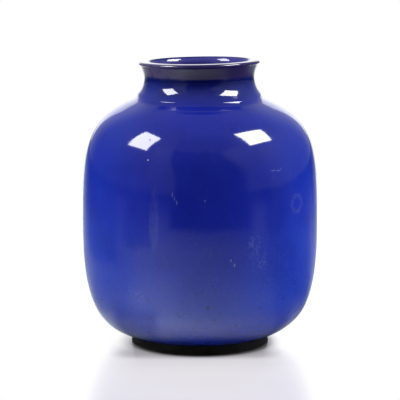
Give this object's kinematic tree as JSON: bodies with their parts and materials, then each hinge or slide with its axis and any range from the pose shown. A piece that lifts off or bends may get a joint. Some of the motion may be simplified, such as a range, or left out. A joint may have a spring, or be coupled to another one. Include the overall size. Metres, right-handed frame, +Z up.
{
  "type": "vase",
  "caption": "Round wide-bodied glazed vase with a short flared neck, a flat sloping lip and a low bare foot ring.",
  "frame": {"origin": "centre of the foot ring's standing face, on the surface that the vase stands on", "axes": "+Z up along the turning axis; the vase is round, so +X and +Y have no mark on it"},
  "size_m": [0.2328, 0.2328, 0.28],
  "materials": {
    "dark_clay": "bare fired clay, stained dark, matt and slightly gritty",
    "body_clay": "fired stoneware body under the glaze, seen only on the base and at pinholes",
    "cobalt_glaze": "deep cobalt glaze, glossy, with faint turning lines, a few pinholes and light scuffs",
    "lining_glaze": "the same cobalt glaze, thinner, lining the inside"
  },
  "bodies": {
    "root": {"foot_ring": "dark_clay", "body_shell": "body_clay", "neck_collar": "body_clay", "outer_glaze": "cobalt_glaze", "inner_glaze": "lining_glaze"}
  },
  "joints": []
}
